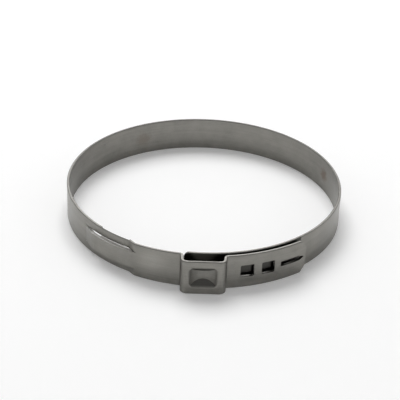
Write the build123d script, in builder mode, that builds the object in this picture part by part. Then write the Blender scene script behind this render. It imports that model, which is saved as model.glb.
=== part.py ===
from build123d import *
from math import acos, atan2, cos, degrees, hypot, radians, sin, sqrt
import os

# One-piece ear clamp: a flat strip bent round into a ring that overlaps itself.
# From its outer end the strip has a guide slot and two hook windows, then the ear,
# then a step down to the hose. There two slits free a raised strap between two edge
# strips. After one turn the strip passes under its own outer end, where the hooks and
# the guide tab stand up, and ends as a narrow tongue that slides under the strap.
# Lengths are in millimetres and angles in degrees, from the middle of the ear towards
# +X. The ear points to -Y, the hose runs along Z and the origin is the bore's centre.

# Strip and ring
bore_radius = 38.75
band_width = 10.0
band_thickness = 0.8
edge_break = 0.18

# Ear
ear_inner_width = 10.5
ear_height = 5.0  # from the bore to the top of the crown
crown_bend = 1.0  # inside radius of the crown's corners
leg_bend = 0.5  # radius between the band and a leg

# Pressed dimple in the crown
dimple_length = 7.4
dimple_width = 6.0
dimple_depth = 1.8  # in the middle of its arched floor
dimple_run = 1.8  # how far each long wall slopes inwards on its way down
dimple_corner = 1.6
dimple_rim_depth = 0.12
dimple_rim_run = 0.2

# Outer layer on both sides of the ear
tongue_gap = 0.1  # between the tongue and the layer that covers it
standoff_at_ear = 0.8  # between the hook side's two layers
standoff_at_end = 1.1
outer_end_angle = 41.6
end_corner_along = 1.8
end_corner_across = 2.2

# Step from the outer layer down to the hose
step_top_angle = -26.3
step_foot_angle = -30.2
step_top_bend = 2.0
step_foot_bend = 0.6

# Strap between the two slits, and the coined edges beside it
strap_start_angle = -54.8
strap_full_angle = -46.8
strap_fall_angle = -29.8
strap_width = 5.0
strap_clearance = 0.35  # over the tongue
strap_bend = 4.0
strap_fall_bend = 2.0
lance_gap = 0.1
coin_start_angle = -44.7
coin_depth = 0.65
coin_across = 0.5

# Inner end: full width up to the ear, then the tongue
shoulder_angle = -7.6
shoulder_flat = 0.5  # straight part between the shoulder's round and the tongue's fillet
tongue_width = 4.4
tongue_fillet = 0.8
tongue_tip_angle = -46.0
tongue_tip_round = 1.4

# Hooks and the windows that they catch
window_angles = (16.45, 24.75)
window_length = 3.8
window_width = 3.6
window_corner = 0.35
hook_width = 2.1
hook_rise = 1.1
hook_play = 0.55  # from the hook's load face to the end of its window
hook_top_length = 2.3
hook_ramp_length = 2.0
hook_bend = 0.6

# Guide tab and its slot
slot_start_angle = 29.9
slot_tip_angle = 40.8
slot_width = 1.5
slot_tip_length = 1.6
slot_corner = 0.3
tab_width = 1.2
tab_rise = 1.35
tab_foot_angle = 31.4
tab_top_angle = 34.2
tab_end_angle = 38.0

# Values that follow from the sizes above
ring_outer_radius = bore_radius + band_thickness
cover_radius = ring_outer_radius + tongue_gap
hook_side_radius = ring_outer_radius + standoff_at_ear
outer_end_radius = ring_outer_radius + standoff_at_end
crown_radius = bore_radius + ear_height
leg_x = ear_inner_width / 2
dimple_slant = hypot(dimple_depth, dimple_run)
dimple_arch = ((dimple_length / 2) ** 2 + dimple_depth**2) / (2 * dimple_depth)
inner_leg_bend = leg_bend + band_thickness
shoulder_round = (band_width - tongue_width) / 2 - tongue_fillet - shoulder_flat
slit_width = strap_width + 2 * lance_gap
strap_radius = ring_outer_radius + strap_clearance
ear_angle = 0.0
full_turn = 360.0
quarter_turn = full_turn / 4
cut_margin = 1.0  # how far a cutter runs past the surfaces that it opens


def on_ring(radius, angle):
    """Point of the XY plane at this radius and this angle from the ear."""
    return Vector(radius * sin(radians(angle)), -radius * cos(radians(angle)))


def heading(angle):
    """Direction along the ring, towards larger angles."""
    return Vector(cos(radians(angle)), sin(radians(angle)))


def arc_angle(length, radius):
    """Angle that an arc of this length spans."""
    return degrees(length / radius)


def face_plane(radius, angle):
    """Plane that touches the ring, with x along the strip, y along Z and z outwards."""
    point = on_ring(radius, angle)
    return Plane(origin=point, x_dir=heading(angle), z_dir=point.normalized())


def section_plane(angle):
    """Plane through the bore's axis, with x outwards and y along Z."""
    return Plane(origin=(0, 0, 0), x_dir=on_ring(1, angle), z_dir=-heading(angle))


def joggle(start_radius, start_angle, end_radius, end_angle, start_bend, end_bend):
    """Draw two bends and a ramp from one radius to another, tangent to both circles."""
    side = 1 if end_radius > start_radius else -1
    start, end = on_ring(start_radius, start_angle), on_ring(end_radius, end_angle)
    start_centre = on_ring(start_radius + side * start_bend, start_angle)
    end_centre = on_ring(end_radius - side * end_bend, end_angle)
    between = end_centre - start_centre
    lean = degrees(acos((start_bend + end_bend) / between.length))
    towards = between.normalized().rotate(Axis.Z, side * lean)
    ramp_start = start_centre + towards * start_bend
    ramp_end = end_centre - towards * end_bend
    TangentArc(start, ramp_start, tangent=heading(start_angle))
    Line(ramp_start, ramp_end)
    TangentArc(ramp_end, end, tangent=ramp_end - ramp_start)


def ring_arc(radius, start_angle, end_angle):
    """Draw an arc round the bore's axis, towards larger angles."""
    CenterArc((0, 0), radius, start_angle - quarter_turn, end_angle - start_angle)


def leg_foot(radius, side):
    """Ends of the bend between a layer and its leg: on the layer, then on the leg."""
    centre_x = leg_x + inner_leg_bend
    centre_radius = radius + inner_leg_bend
    centre_y = sqrt(centre_radius**2 - centre_x**2)
    on_layer = Vector(side * centre_x, -centre_y) * (radius / centre_radius)
    on_leg = Vector(side * leg_x, -centre_y)
    return on_layer, on_leg


def layer_angle(point):
    """Angle from the ear of a point in the XY plane."""
    return degrees(atan2(point.X, -point.Y))


def add_ear_path():
    """Inner surface of the outer layer, from the step's foot to the outer end."""
    left_layer, left_leg = leg_foot(cover_radius, -1)
    right_layer, right_leg = leg_foot(hook_side_radius, 1)
    crown_y = band_thickness - crown_radius
    joggle(bore_radius, step_foot_angle, cover_radius, step_top_angle, step_foot_bend, step_top_bend)
    ring_arc(cover_radius, step_top_angle, layer_angle(left_layer))
    TangentArc(left_layer, left_leg, tangent=heading(layer_angle(left_layer)))
    left_corner = Vector(-leg_x, crown_y + crown_bend)
    crown_start = Vector(crown_bend - leg_x, crown_y)
    crown_end = Vector(leg_x - crown_bend, crown_y)
    right_corner = Vector(leg_x, crown_y + crown_bend)
    Line(left_leg, left_corner)
    TangentArc(left_corner, crown_start, tangent=(0, -1))
    Line(crown_start, crown_end)
    TangentArc(crown_end, right_corner, tangent=(1, 0))
    Line(right_corner, right_leg)
    TangentArc(right_leg, right_layer, tangent=(0, 1))
    outer_end = on_ring(outer_end_radius, outer_end_angle)
    TangentArc(right_layer, outer_end, tangent=heading(layer_angle(right_layer)))


def add_raised_strip(width, rise, foot_angle, top_angle, end_angle, bend):
    """Lance a tab out of the ring: free at its end and sides, joined at its foot."""
    with BuildSketch() as opening:
        with BuildLine():
            ring_arc(bore_radius - cut_margin, foot_angle, end_angle)
            offset(amount=band_thickness + cut_margin + standoff_at_ear / 2, side=Side.RIGHT)
        make_face()
    extrude(opening.sketch, amount=width / 2 + lance_gap, both=True, mode=Mode.SUBTRACT)
    with BuildSketch() as raised:
        with BuildLine():
            top_radius = bore_radius + rise
            joggle(bore_radius, foot_angle, top_radius, top_angle, bend, bend)
            ring_arc(top_radius, top_angle, end_angle)
            offset(amount=band_thickness, side=Side.RIGHT)
        make_face()
    extrude(raised.sketch, amount=width / 2, both=True)


def dimple_outline(depth, grow):
    """Sketch the dimple's outline at this depth under the crown's face, grown all round."""
    plane = Plane(origin=(0, depth - crown_radius, 0), x_dir=(1, 0, 0), z_dir=(0, 1, 0))
    with BuildSketch(plane) as outline:
        RectangleRounded(dimple_length + 2 * grow, dimple_width + 2 * grow, dimple_corner + grow)
    return outline.sketch


def dimple_floor(wall):
    """Sketch the circle of the dimple's arched floor, behind this much wall."""
    with BuildSketch() as floor:
        with Locations((0, dimple_depth - dimple_arch - crown_radius)):
            Circle(dimple_arch + wall)
    return floor.sketch


def dimple_sides(wall):
    """Sketch the sloping long walls of the dimple from its side, behind this much wall."""
    face = -crown_radius - cut_margin
    bottom = dimple_depth + wall - crown_radius
    slope = dimple_run / dimple_depth
    half_at_face = dimple_width / 2 + wall * dimple_slant / dimple_depth + cut_margin * slope
    half_at_bottom = half_at_face - (bottom - face) * slope
    corners = (
        (face, -half_at_face),
        (bottom, -half_at_bottom),
        (bottom, half_at_bottom),
        (face, half_at_face),
    )
    with BuildSketch(Plane.YZ) as sides:
        Polygon(*corners, align=None)
    return sides.sketch


def thickness_edges(builder, radius, angle, width):
    """The two short edges through the strip's thickness, this far apart along Z."""
    point = on_ring(radius + band_thickness / 2, angle)
    corners = (point + Vector(0, 0, width / 2), point - Vector(0, 0, width / 2))
    return ShapeList(builder.edges().sort_by_distance(corner)[0] for corner in corners)


def strip_edges(builder):
    """Every edge in the strip's two edge planes."""
    planes = builder.edges().group_by(Axis.Z)
    return planes[0] + planes[-1]


# Inner end: the strip narrows at its shoulders to the tongue
with BuildPart() as inner_end:
    with BuildSketch():
        with BuildLine():
            ring_arc(bore_radius, tongue_tip_angle, ear_angle)
            offset(amount=band_thickness, side=Side.RIGHT)
        make_face()
    extrude(amount=band_width / 2, both=True)
    cut_start_angle = tongue_tip_angle - arc_angle(cut_margin, bore_radius)
    for side in (1, -1):
        with BuildSketch(Plane.XY.offset(side * tongue_width / 2)):
            with BuildLine():
                ring_arc(bore_radius - cut_margin, cut_start_angle, shoulder_angle)
                offset(amount=band_thickness + 2 * cut_margin, side=Side.RIGHT)
            make_face()
        extrude(amount=side * band_width, mode=Mode.SUBTRACT)
    tongue_root = thickness_edges(inner_end, bore_radius, shoulder_angle, tongue_width)
    fillet(tongue_root, radius=tongue_fillet)
    shoulders = thickness_edges(inner_end, bore_radius, shoulder_angle, band_width)
    fillet(shoulders, radius=shoulder_round)
    tongue_tip = thickness_edges(inner_end, bore_radius, tongue_tip_angle, tongue_width)
    fillet(tongue_tip, radius=tongue_tip_round)
    inner_seam = thickness_edges(inner_end, bore_radius, ear_angle, band_width)
    chamfer(strip_edges(inner_end) - inner_seam, length=edge_break)

# Dimple: its hollow, and the pressed wall behind the hollow
with BuildPart() as dimple_hollow:
    extrude(dimple_outline(-cut_margin, 0), amount=dimple_depth + 2 * cut_margin)
    extrude(dimple_floor(0), amount=band_width, both=True, mode=Mode.INTERSECT)
    extrude(dimple_sides(0), amount=ear_inner_width, both=True, mode=Mode.INTERSECT)
    rim_outside = dimple_outline(-dimple_rim_depth, 2 * dimple_rim_run)
    loft([rim_outside, dimple_outline(dimple_rim_depth, 0)], ruled=True)

with BuildPart() as dimple_wall:
    wall_top = band_thickness / 2
    extrude(dimple_outline(wall_top, band_thickness), amount=dimple_depth + band_thickness)
    extrude(dimple_floor(band_thickness), amount=band_width, both=True, mode=Mode.INTERSECT)
    extrude(dimple_sides(band_thickness), amount=ear_inner_width, both=True, mode=Mode.INTERSECT)

with BuildPart() as clamp_band:
    # Ring, from under the ear once round to the step's foot
    with BuildSketch():
        with BuildLine():
            ring_arc(bore_radius, ear_angle, full_turn + step_foot_angle)
            offset(amount=band_thickness, side=Side.RIGHT)
        make_face()
    extrude(amount=band_width / 2, both=True)

    # Step, outer layer, ear and the layer that carries the windows
    with BuildSketch():
        with BuildLine():
            add_ear_path()
            offset(amount=band_thickness, side=Side.RIGHT)
        make_face()
    extrude(amount=band_width / 2, both=True)

    # Broken edges all along the strip
    ring_seam = thickness_edges(clamp_band, bore_radius, ear_angle, band_width)
    outer_end_edges = thickness_edges(clamp_band, outer_end_radius, outer_end_angle, band_width)
    chamfer(strip_edges(clamp_band) - ring_seam - outer_end_edges, length=edge_break)

    # Dimple, pressed into the crown
    add(dimple_wall.part)
    add(dimple_hollow.part, mode=Mode.SUBTRACT)

    # Slits: the middle of the ring and of the step is cleared for the strap
    with BuildSketch():
        with BuildLine():
            ring_arc(bore_radius - cut_margin, strap_start_angle, step_top_angle)
            offset(amount=2 * band_thickness + tongue_gap + 2 * cut_margin, side=Side.RIGHT)
        make_face()
    extrude(amount=slit_width / 2, both=True, mode=Mode.SUBTRACT)

    # Strap: up from the ring, over the tongue and into the outer layer at the step's top
    with BuildSketch():
        with BuildLine():
            joggle(bore_radius, strap_start_angle, strap_radius, strap_full_angle, strap_bend, strap_bend)
            ring_arc(strap_radius, strap_full_angle, strap_fall_angle)
            fall_bend = strap_fall_bend
            joggle(strap_radius, strap_fall_angle, cover_radius, step_top_angle, fall_bend, fall_bend)
            offset(amount=band_thickness, side=Side.RIGHT)
        make_face()
    extrude(amount=strap_width / 2, both=True)

    # Inner end, with its tongue between the edge strips and under the strap
    add(inner_end.part)

    # Coined inner edges of the two edge strips
    with BuildSketch(section_plane(coin_start_angle)):
        with BuildLine():
            Polyline(
                (bore_radius - cut_margin, band_width / 2 - coin_across * (1 + cut_margin / coin_depth)),
                (bore_radius + coin_depth, band_width / 2),
                (bore_radius + coin_depth, band_width / 2 + cut_margin),
                (bore_radius - cut_margin, band_width / 2 + cut_margin),
                close=True,
            )
        make_face()
        mirror(about=Plane.XZ)
    revolve(axis=Axis.Z, revolution_arc=step_foot_angle - coin_start_angle, mode=Mode.SUBTRACT)

    # Hooks, each with its load face towards the outer end
    for window_angle in window_angles:
        window_end = window_angle + arc_angle(window_length / 2, outer_end_radius)
        hook_end = window_end - arc_angle(hook_play, outer_end_radius)
        hook_top = hook_end - arc_angle(hook_top_length, outer_end_radius)
        hook_foot = hook_top - arc_angle(hook_ramp_length, outer_end_radius)
        add_raised_strip(hook_width, hook_rise, hook_foot, hook_top, hook_end, hook_bend)
    add_raised_strip(tab_width, tab_rise, tab_foot_angle, tab_top_angle, tab_end_angle, hook_bend)

    # Windows in the outer layer
    window_radius = ring_outer_radius + standoff_at_ear / 2
    window_depth = band_thickness + standoff_at_end + cut_margin
    for window_angle in window_angles:
        with BuildSketch(face_plane(window_radius, window_angle)):
            RectangleRounded(window_length, window_width, window_corner)
        extrude(amount=window_depth, mode=Mode.SUBTRACT)

    # Guide slot, pointed towards the outer end
    slot_middle_angle = (slot_start_angle + slot_tip_angle) / 2
    slot_half = outer_end_radius * sin(radians(slot_tip_angle - slot_middle_angle))
    with BuildSketch(face_plane(window_radius, slot_middle_angle)):
        with BuildLine():
            slot_line = Polyline(
                (-slot_half, -slot_width / 2),
                (slot_half - slot_tip_length, -slot_width / 2),
                (slot_half, 0),
                (slot_half - slot_tip_length, slot_width / 2),
                (-slot_half, slot_width / 2),
                close=True,
            )
        make_face()
        fillet(slot_line.vertices().sort_by(Axis.X)[0:2], radius=slot_corner)
    extrude(amount=window_depth, mode=Mode.SUBTRACT)

    # Cut corners of the outer end
    with BuildSketch(face_plane(window_radius, outer_end_angle)):
        with BuildLine():
            Polyline(
                (-end_corner_along, band_width / 2),
                (0, band_width / 2 - end_corner_across),
                (cut_margin, band_width / 2 - end_corner_across - cut_margin),
                (cut_margin, band_width / 2 + cut_margin),
                (-end_corner_along, band_width / 2 + cut_margin),
                close=True,
            )
        make_face()
        mirror(about=Plane.XZ)
    extrude(amount=window_depth, mode=Mode.SUBTRACT)

clamp_band.part.label = "clamp_band"
os.makedirs("parts", exist_ok=True)
export_step(clamp_band.part, "parts/clamp_band.step")
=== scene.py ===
import functools
import math

import bmesh
import bpy
from mathutils import Matrix, Vector


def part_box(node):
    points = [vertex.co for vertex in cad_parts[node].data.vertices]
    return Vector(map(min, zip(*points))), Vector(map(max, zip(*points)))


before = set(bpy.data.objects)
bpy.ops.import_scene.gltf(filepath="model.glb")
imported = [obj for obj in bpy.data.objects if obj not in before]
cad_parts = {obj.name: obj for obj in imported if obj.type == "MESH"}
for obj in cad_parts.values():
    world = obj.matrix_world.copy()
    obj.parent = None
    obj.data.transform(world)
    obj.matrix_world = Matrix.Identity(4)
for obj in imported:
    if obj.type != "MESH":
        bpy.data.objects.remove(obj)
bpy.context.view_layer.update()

bl_info = {
    "name": "Ear Hose Clamp",
    "version": (1, 0, 0),
    "blender": (4, 5, 0),
    "location": "3D View > Sidebar > Ear Clamp",
    "description": "Finishes a one-piece stainless ear clamp and sets up its studio",
    "category": "Object",
}

BAND = "clamp_band"
MM = 0.001
FLOOR_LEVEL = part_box(BAND)[0].z

# Marks on the strip: centre, size, and how strong
STAINS = (
    (Vector((36.2, 13.6, 0.3)) * MM, 2.8 * MM, 0.7),
    (Vector((-19.2, 33.7, 0.0)) * MM, 3.2 * MM, 0.3),
)
# Painted sheen: a lighter patch on the outer face left of the ear
PAINTED_SHEEN_CENTRE = Vector((-13.8, -38.2, 0.6)) * MM
PAINTED_SHEEN_SIZE = 5.5 * MM
PAINTED_SHEEN_LIGHT = 0.2

# Zones of the strip, each as the two places between which it starts or stops.
# Radii are from the bore's axis, and angles from the ear towards +X.
INNER_FACE = (39.0 * MM, 39.2 * MM)
OVERLAP_FROM = math.radians(-7.4)
OVERLAP_TO = math.radians(41.0)
OVERLAP_BLEND = 0.01
OVERLAP_START = (OVERLAP_FROM - OVERLAP_BLEND, OVERLAP_FROM)
OVERLAP_END = (OVERLAP_TO, OVERLAP_TO + OVERLAP_BLEND)
FILM_BOTTOM = (39.1 * MM, 39.3 * MM)
FILM_TOP = (40.72 * MM, 40.82 * MM)
HOOK_TOP = (40.56 * MM, 40.62 * MM)
HOOK_HALF_WIDTH = (0.75 * MM, 0.9 * MM)
DIMPLE_MOUTH = (-43.6 * MM, -43.2 * MM)
DIMPLE_BOTTOM = (-41.0 * MM, -40.8 * MM)
DIMPLE_HALF_LENGTH = (3.9 * MM, 4.1 * MM)
STRAP_SIDE = (18 * MM, 20 * MM)
STRAP_HALF_WIDTH = (3.2 * MM, 3.4 * MM)

# How far a normal leans along the bore's axis: 0 on a rolled face, 1 on a sheared edge
SHEARED_FACING = (0.55, 0.85)
DIMPLE_WALL_FACING = (0.3, 0.6)

# Noise sizes: one for each axis, or one for all
BROAD_SIZE = (25 * MM, 25 * MM, 1.1 * MM)
PATCH_SIZE = (11 * MM, 11 * MM, 6 * MM)
SPECK_SIZE = 0.3 * MM
CRUMB_SIZE = 1.1 * MM

# What each noise adds to the base of a tone, a roughness, a height or a cover
FACE_TONE_BASE = 0.2
FACE_TONE = {"fine": 0.36, "broad": 0.26, "cloud": 0.44, "patch": 0.3, "speck": 0.24}
EDGE_TONE_BASE = 0.75
EDGE_TONE = {"speck": 0.5}
FACE_ROUGHNESS_DROP = 0.2
FACE_ROUGHNESS = {"fine": 0.12, "cloud": 0.2, "patch": 0.12}
EDGE_ROUGHNESS_BASE = 0.3
EDGE_ROUGHNESS = {"speck": 0.1}
HEIGHT_BASE = 0
HEIGHT = {"fine": 0.5, "cloud": 0.2, "speck": 0.3}
# Painted shade: how dark the colour is made between the two layers and inside the ear
LAYER_SHADE_BASE = 0.7
LAYER_SHADE = {"cloud": 0.2}
# Painted reflection: how dark the colour is made on the dimple's walls, for the dark they reflect
DIMPLE_SHADE_BASE = 0.35
DIMPLE_SHADE = {"cloud": 0.4}
# Painted highlight: how bright the colour is made on the hook tops
HOOK_HIGHLIGHT_BASE = 0.2
HOOK_HIGHLIGHT = {"crumb": 0.5}

# The strongest tone that each colour is mixed up to
FACE_TONE_MOST = 2
EDGE_TONE_MOST = 2.5

BUMP_STRENGTH = 0.35
BUMP_HEIGHT = 0.02 * MM
BLOB_RAGGED = 1.2
BLOB_CORE = 0.2

# Studio
COVE_STEPS = 12
FLOOR_STEPS = 96
FLOOR_MERGE = 0.0001
FLOOR_LIFT = 0.12
SENSOR_WIDTH = 36
CLIP_START = 0.01
BLACK = (0, 0, 0)
WHITE = (1, 1, 1)


# Settings


class SteelSettings(bpy.types.PropertyGroup):
    """Colour and finish of the stainless strip"""

    colour: bpy.props.FloatVectorProperty(
        name="Steel", description="Colour of the rolled faces", subtype="COLOR",
        default=(0.235, 0.229, 0.21), min=0, max=1,
    )
    edge_colour: bpy.props.FloatVectorProperty(
        name="Sheared edge", description="Colour of the strip's sheared edges", subtype="COLOR",
        default=(0.22, 0.214, 0.2), min=0, max=1,
    )
    # Painted shade: the dark colour put between the layers, inside the ear and on the dimple's
    # walls
    painted_shade_colour: bpy.props.FloatVectorProperty(
        name="Shading", description="Colour of the film left between the two layers",
        subtype="COLOR", default=(0.03, 0.029, 0.027), min=0, max=1,
    )
    # Painted highlight: the bright colour put on the hook tops and the strap's cut edge
    painted_highlight_colour: bpy.props.FloatVectorProperty(
        name="Highlight", description="Colour of metal rubbed bright by the tool",
        subtype="COLOR", default=(0.82, 0.81, 0.79), min=0, max=1,
    )
    stain_colour: bpy.props.FloatVectorProperty(
        name="Stain", description="Colour of the brown heat and water marks", subtype="COLOR",
        default=(0.13, 0.085, 0.06), min=0, max=1,
    )
    roughness: bpy.props.FloatProperty(
        name="Roughness", description="Middle of the satin finish", subtype="FACTOR",
        default=0.31, min=0, max=1,
    )
    grain_pitch: bpy.props.FloatProperty(
        name="Grain pitch", description="Distance between rolling lines", unit="LENGTH",
        default=0.16 * MM,
    )
    grain_length: bpy.props.FloatProperty(
        name="Grain length", description="Length of a rolling line along the strip", unit="LENGTH",
        default=9 * MM,
    )
    mottle_size: bpy.props.FloatProperty(
        name="Mottle size", description="Size of the cloudy patches in the sheen", unit="LENGTH",
        default=4 * MM,
    )


class StudioSettings(bpy.types.PropertyGroup):
    """Floor, lamp, room light and camera"""

    floor_radius: bpy.props.FloatProperty(
        name="Floor", description="Radius of the round floor", unit="LENGTH", default=1.3,
    )
    cove_radius: bpy.props.FloatProperty(
        name="Cove", description="Radius of the bend from floor to wall", unit="LENGTH",
        default=0.4,
    )
    wall_height: bpy.props.FloatProperty(
        name="Wall", description="Height of the wall above its bend", unit="LENGTH", default=0.75,
    )
    floor_colour: bpy.props.FloatVectorProperty(
        name="Floor colour", description="Colour of the floor and the background",
        subtype="COLOR", default=(0.92, 0.92, 0.92), min=0, max=1,
    )
    top_power: bpy.props.FloatProperty(
        name="Top lamp", description="Power of the large lamp above and behind", unit="POWER",
        default=14.5,
    )
    top_place: bpy.props.FloatVectorProperty(
        name="Top lamp place", description="Centre of the lamp", subtype="TRANSLATION",
        default=(-0.15, 0.75, 1.15),
    )
    top_size: bpy.props.FloatProperty(
        name="Top lamp size", description="Length of the lamp's side", unit="LENGTH", default=0.9,
    )
    sky: bpy.props.FloatProperty(
        name="Room light", description="Level of the even light from above", default=0.32,
    )
    camera_distance: bpy.props.FloatProperty(
        name="Camera distance", description="From the bore's centre", unit="LENGTH",
        default=345.66 * MM,
    )
    camera_elevation: bpy.props.FloatProperty(
        name="Camera elevation", description="Angle above the floor", subtype="ANGLE",
        default=math.radians(29.912),
    )
    camera_azimuth: bpy.props.FloatProperty(
        name="Camera side step", description="Angle from the ear, towards -X", subtype="ANGLE",
        default=math.radians(1.0),
    )
    camera_aim: bpy.props.FloatVectorProperty(
        name="Camera aim", description="Tilt, pan and roll from the bore's centre",
        subtype="EULER", default=(-0.004819, 0.0029059, 0.04113),
    )
    lens: bpy.props.FloatProperty(
        name="Lens", description="Focal length in millimetres", default=106.71,
    )


# Shader maths


class Wire:
    """A shader value that takes part in Python arithmetic"""

    def __init__(self, graph, socket):
        self.graph = graph
        self.socket = socket

    def __add__(self, other):
        return self.graph.math("ADD", self, other)

    __radd__ = __add__

    def __mul__(self, other):
        return self.graph.math("MULTIPLY", self, other)

    __rmul__ = __mul__

    def __sub__(self, other):
        return self.graph.math("SUBTRACT", self, other)

    def __rsub__(self, other):
        return self.graph.math("SUBTRACT", other, self)

    def __truediv__(self, other):
        return self.graph.math("DIVIDE", self, other)

    def __abs__(self):
        return self.graph.math("ABSOLUTE", self)

    def __neg__(self):
        return self.graph.math("MULTIPLY", self, -1)


class Graph:
    """A material's or world's nodes"""

    def __init__(self, owner):
        owner.use_nodes = True
        self.tree = owner.node_tree
        self.tree.nodes.clear()

    @functools.cached_property
    def coordinates(self):
        """The surface's own coordinates, added when they are first read."""
        return self.node("ShaderNodeTexCoord")

    @property
    def point(self):
        """The point in the frame."""
        return self.coordinates["Object"]

    def node(self, kind, settings=None, **inputs):
        """Add a node, set it up, feed its sockets and give its outputs by name."""
        made = self.tree.nodes.new(kind)
        for name, value in (settings or {}).items():
            setattr(made, name, value)
        for name, value in inputs.items():
            self.feed(self.socket(made, name), value)
        return {out.name: Wire(self, out) for out in made.outputs if out.enabled}

    def socket(self, made, name):
        """The enabled input of this name, or of this number after an underscore."""
        if name.startswith("_"):
            return made.inputs[int(name[1:])]
        wanted = name.replace("_", " ").lower()
        return next(s for s in made.inputs if s.enabled and s.name.lower() == wanted)

    def feed(self, socket, value):
        """Link a wire to a socket, or set its value."""
        if isinstance(value, Wire):
            self.tree.links.new(value.socket, socket)
        elif socket.type == "RGBA" and len(value) == 3:
            socket.default_value = (*value, 1)
        else:
            socket.default_value = value

    def math(self, operation, first, second=0.0):
        """One Math node."""
        settings = {"operation": operation}
        return self.node("ShaderNodeMath", settings, _0=first, _1=second)["Value"]

    def starts(self, value, limits):
        """0 before the limits, 1 past them, smooth between them."""
        settings = {"interpolation_type": "SMOOTHSTEP"}
        low, high = limits
        return self.node(
            "ShaderNodeMapRange", settings, value=value, from_min=low, from_max=high,
        )["Result"]

    def stops(self, value, limits):
        """1 before the limits, 0 past them, smooth between them."""
        return 1 - self.starts(value, limits)

    def weighted(self, base, noises, weights):
        """The base and each named noise times its weight."""
        total = base
        for name, weight in weights.items():
            total = total + weight * noises[name]
        return total

    def shade(self, colour, tone, most):
        """The colour times a tone, which may run from 0 to most."""
        return self.mix(tone / most, BLACK, tuple(most * part for part in colour))

    def mix(self, share, first, second):
        """Colour between two colours."""
        settings = {"data_type": "RGBA"}
        return self.node("ShaderNodeMix", settings, factor=share, a=first, b=second)["Result"]

    def axis(self, name):
        """One coordinate of the point."""
        return self.node("ShaderNodeSeparateXYZ", vector=self.point)[name]

    def blob(self, centre, size, ragged):
        """1 at the centre, 0 past this size, with an outline roughened by a noise."""
        settings = {"operation": "DISTANCE"}
        away = self.node("ShaderNodeVectorMath", settings, _0=self.point, _1=centre)["Value"]
        away = away / size + BLOB_RAGGED * ragged - BLOB_RAGGED / 2
        return self.stops(away, (BLOB_CORE, 1))

    def noise(self, size, detail=3.0, roughness=0.5, place=None):
        """Noise about 0 to 1 with features of this size, shifted by place to differ."""
        scale = Vector(size if hasattr(size, "__len__") else (size, size, size))
        scale = [1 / length for length in scale]
        vector = self.node(
            "ShaderNodeMapping", vector=self.point, scale=scale, location=place or (0, 0, 0),
        )["Vector"]
        return self.node(
            "ShaderNodeTexNoise", vector=vector, scale=1.0, detail=detail, roughness=roughness,
        )["Fac"]


# Finishes


def steel_noises(g, steel):
    """Rolling lines, cloudy patches and fine specks, each about 0 to 1."""
    line = (steel.grain_length, steel.grain_length, steel.grain_pitch)
    return {
        "fine": g.noise(line, detail=4, roughness=0.6),
        "broad": g.noise(BROAD_SIZE, detail=3, place=(3, 1, 7)),
        "cloud": g.noise(steel.mottle_size, detail=5, roughness=0.6, place=(5, 2, 9)),
        "patch": g.noise(PATCH_SIZE, detail=4, place=(1, 8, 4)),
        "speck": g.noise(SPECK_SIZE, detail=3, roughness=0.7),
        "crumb": g.noise(CRUMB_SIZE, detail=3, roughness=0.6, place=(2, 4, 6)),
    }


def strip_zones(g):
    """Masks of the strip's parts, by angle, radius, height and facing."""
    facing = abs(g.node("ShaderNodeSeparateXYZ", vector=g.coordinates["Normal"])["Z"])
    x, y, height = g.axis("X"), g.axis("Y"), abs(g.axis("Z"))
    angle = g.math("ARCTAN2", x, -y)
    flat = g.node("ShaderNodeVectorMath", {"operation": "MULTIPLY"}, _0=g.point, _1=(1, 1, 0))
    radius = g.node("ShaderNodeVectorMath", {"operation": "LENGTH"}, _0=flat["Vector"])["Value"]
    overlap = g.starts(angle, OVERLAP_START) * g.stops(angle, OVERLAP_END)
    layers = g.starts(radius, FILM_BOTTOM) * g.stops(radius, FILM_TOP)
    dimple = g.starts(y, DIMPLE_MOUTH) * g.stops(y, DIMPLE_BOTTOM)
    dimple = dimple * g.stops(abs(x), DIMPLE_HALF_LENGTH)
    # between_layers marks painted shade, hook_top and strap_cut painted highlights, dimple_wall a
    # painted dark reflection
    return {
        "edge": g.starts(facing, SHEARED_FACING),
        "inside": g.stops(radius, INNER_FACE),
        "between_layers": overlap * layers,
        "hook_top": g.starts(radius, HOOK_TOP) * g.stops(height, HOOK_HALF_WIDTH),
        "dimple_wall": dimple * g.starts(facing, DIMPLE_WALL_FACING),
        "strap_cut": g.starts(-x, STRAP_SIDE) * g.stops(height, STRAP_HALF_WIDTH),
    }


def steel_colour(g, steel, noises, zones):
    """Rolled faces and sheared edges, with stains, a painted sheen, painted shade, painted
    highlights and a painted dark reflection.
    """
    shade_colour, highlight_colour = tuple(steel.painted_shade_colour), tuple(steel.painted_highlight_colour)
    tone = g.weighted(FACE_TONE_BASE, noises, FACE_TONE)
    # Painted sheen: a lighter patch left of the ear
    tone = tone + PAINTED_SHEEN_LIGHT * g.blob(PAINTED_SHEEN_CENTRE, PAINTED_SHEEN_SIZE, noises["cloud"])
    face = g.shade(steel.colour, tone, FACE_TONE_MOST)
    for centre, size, depth in STAINS:
        mark = depth * zones["inside"] * g.blob(centre, size, noises["crumb"])
        face = g.mix(mark, face, tuple(steel.stain_colour))
    # Painted shade between the two layers and inside the ear, but not on the hook tops
    darkening = zones["between_layers"] * (1 - zones["hook_top"])
    face = g.mix(darkening * g.weighted(LAYER_SHADE_BASE, noises, LAYER_SHADE), face, shade_colour)
    # Painted highlight on the hook tops
    hook_highlight = zones["between_layers"] * zones["hook_top"]
    face = g.mix(hook_highlight * g.weighted(HOOK_HIGHLIGHT_BASE, noises, HOOK_HIGHLIGHT), face, highlight_colour)
    tone = g.weighted(EDGE_TONE_BASE, noises, EDGE_TONE)
    sheared = g.shade(steel.edge_colour, tone, EDGE_TONE_MOST)
    # Painted highlight on the strap's cut edge
    sheared = g.mix(zones["strap_cut"], sheared, highlight_colour)
    # Painted reflection: the dimple's walls darkened for the dark they reflect
    darkening = zones["dimple_wall"] * g.weighted(DIMPLE_SHADE_BASE, noises, DIMPLE_SHADE)
    return g.mix(darkening, g.mix(zones["edge"], face, sheared), shade_colour)


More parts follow.
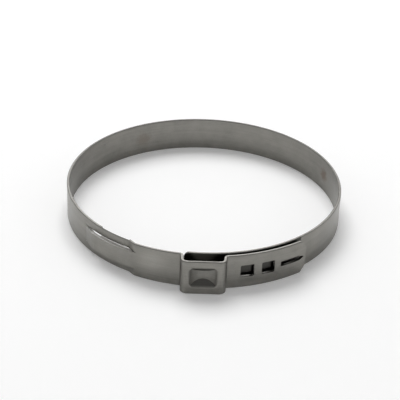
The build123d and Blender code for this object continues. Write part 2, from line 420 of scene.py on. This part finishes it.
def steel_finish(steel):
    """Rolled stainless strip with sheared edges and a few stains, and with painted shade,
    highlights and sheen in its colour.
    """
    material = bpy.data.materials.new("stainless_strip")
    g = Graph(material)
    noises, zones = steel_noises(g, steel), strip_zones(g)
    colour = steel_colour(g, steel, noises, zones)
    face = g.weighted(steel.roughness - FACE_ROUGHNESS_DROP, noises, FACE_ROUGHNESS)
    edge = g.weighted(EDGE_ROUGHNESS_BASE, noises, EDGE_ROUGHNESS)
    rough = face * (1 - zones["edge"]) + edge * zones["edge"]
    bump = g.node(
        "ShaderNodeBump", strength=BUMP_STRENGTH, distance=BUMP_HEIGHT,
        height=g.weighted(HEIGHT_BASE, noises, HEIGHT),
    )["Normal"]
    shader = g.node(
        "ShaderNodeBsdfPrincipled", base_color=colour, metallic=1.0, roughness=rough, normal=bump,
    )["BSDF"]
    g.node("ShaderNodeOutputMaterial", surface=shader)
    return material


def floor_finish(colour):
    """Matt floor that reads as white where no shadow falls."""
    material = bpy.data.materials.new("studio_floor")
    g = Graph(material)
    light = g.node("ShaderNodeLightPath")
    seen = g.math("MAXIMUM", light["Is Camera Ray"], light["Is Glossy Ray"])
    matt = g.node("ShaderNodeBsdfDiffuse", color=tuple(colour))["BSDF"]
    lift = g.node("ShaderNodeEmission", color=WHITE, strength=FLOOR_LIFT * seen)["Emission"]
    both = g.node("ShaderNodeAddShader", _0=matt, _1=lift)["Shader"]
    g.node("ShaderNodeOutputMaterial", surface=both)
    return material


# Operators


class CLAMP_OT_finish_band(bpy.types.Operator):
    """Give the clamp's strip its stainless finish"""

    bl_idname = "clamp.finish_band"
    bl_label = "Finish Band"

    def execute(self, context):
        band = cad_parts[BAND]
        material = steel_finish(context.scene.clamp_steel)
        for slot in band.material_slots:
            slot.material = material
        return {"FINISHED"}


class CLAMP_OT_studio(bpy.types.Operator):
    """Set up the floor, the lamp, the room's light and the camera"""

    bl_idname = "clamp.studio"
    bl_label = "Studio"

    def execute(self, context):
        studio = context.scene.clamp_studio
        self.floor(context, studio)
        self.lamp(context, "top_lamp", studio.top_power, studio.top_size, studio.top_place)
        self.room(context, studio)
        self.camera(context, studio)
        context.scene.view_settings.view_transform = "Standard"
        return {"FINISHED"}

    def floor(self, context, studio):
        mesh = bpy.data.meshes.new("studio_floor")
        bm = bmesh.new()
        first = bm.verts.new((0, 0, FLOOR_LEVEL))
        flat = bmesh.ops.extrude_vert_indiv(bm, verts=[first])["verts"]
        bmesh.ops.translate(bm, verts=flat, vec=(studio.floor_radius, 0, 0))
        bend = bmesh.ops.spin(
            bm, geom=flat, cent=(studio.floor_radius, 0, FLOOR_LEVEL + studio.cove_radius),
            axis=(0, -1, 0), dvec=(0, 0, 0), angle=math.pi / 2, steps=COVE_STEPS,
        )["geom_last"]
        wall = bmesh.ops.extrude_vert_indiv(bm, verts=bend)["verts"]
        bmesh.ops.translate(bm, verts=wall, vec=(0, 0, studio.wall_height))
        bmesh.ops.spin(
            bm, geom=bm.verts[:] + bm.edges[:], cent=(0, 0, 0), axis=(0, 0, 1),
            dvec=(0, 0, 0), angle=math.tau, steps=FLOOR_STEPS, use_merge=True,
        )
        bmesh.ops.remove_doubles(bm, verts=bm.verts[:], dist=FLOOR_MERGE)
        bmesh.ops.recalc_face_normals(bm, faces=bm.faces[:])
        for face in bm.faces:
            face.smooth = True
        bm.to_mesh(mesh)
        bm.free()
        floor = bpy.data.objects.new("studio_floor", mesh)
        floor.data.materials.append(floor_finish(studio.floor_colour))
        context.collection.objects.link(floor)

    def lamp(self, context, name, power, size, place):
        data = bpy.data.lights.new(name, "AREA")
        data.shape = "SQUARE"
        data.size = size
        data.energy = power
        lamp = bpy.data.objects.new(name, data)
        lamp.location = place
        lamp.rotation_euler = (-Vector(place)).to_track_quat("-Z", "Y").to_euler()
        context.collection.objects.link(lamp)

    def room(self, context, studio):
        world = bpy.data.worlds.new("room")
        g = Graph(world)
        back = g.node("ShaderNodeBackground", color=WHITE, strength=studio.sky)["Background"]
        g.node("ShaderNodeOutputWorld", surface=back)
        context.scene.world = world

    def camera(self, context, studio):
        data = bpy.data.cameras.new("camera")
        data.lens = studio.lens
        data.sensor_width = SENSOR_WIDTH
        data.clip_start = CLIP_START
        camera = bpy.data.objects.new("camera", data)
        flat = math.cos(studio.camera_elevation)
        place = studio.camera_distance * Vector((
            -math.sin(studio.camera_azimuth) * flat,
            -math.cos(studio.camera_azimuth) * flat,
            math.sin(studio.camera_elevation),
        ))
        tilt, pan, roll = studio.camera_aim
        turn = (-place).to_track_quat("-Z", "Y").to_matrix()
        turn = turn @ Matrix.Rotation(pan, 3, "Y") @ Matrix.Rotation(tilt, 3, "X")
        turn = turn @ Matrix.Rotation(roll, 3, "Z")
        camera.matrix_world = Matrix.Translation(place) @ turn.to_4x4()
        context.collection.objects.link(camera)
        context.scene.camera = camera


class CLAMP_PT_panel(bpy.types.Panel):
    """The clamp's operators and settings"""

    bl_idname = "CLAMP_PT_panel"
    bl_label = "Ear Hose Clamp"
    bl_space_type = "VIEW_3D"
    bl_region_type = "UI"
    bl_category = "Ear Clamp"

    def draw(self, context):
        layout = self.layout
        for operator in OPERATORS:
            layout.operator(operator.bl_idname)
        for settings in (context.scene.clamp_steel, context.scene.clamp_studio):
            box = layout.box()
            for name in settings.__annotations__:
                box.prop(settings, name)


OPERATORS = (CLAMP_OT_finish_band, CLAMP_OT_studio)
CLASSES = (SteelSettings, StudioSettings, *OPERATORS, CLAMP_PT_panel)


def register():
    for each in CLASSES:
        bpy.utils.register_class(each)
    bpy.types.Scene.clamp_steel = bpy.props.PointerProperty(type=SteelSettings)
    bpy.types.Scene.clamp_studio = bpy.props.PointerProperty(type=StudioSettings)


def unregister():
    del bpy.types.Scene.clamp_studio
    del bpy.types.Scene.clamp_steel
    for each in reversed(CLASSES):
        bpy.utils.unregister_class(each)


def main():
    register()
    bpy.ops.clamp.finish_band()
    bpy.ops.clamp.studio()


if __name__ == "__main__":
    main()
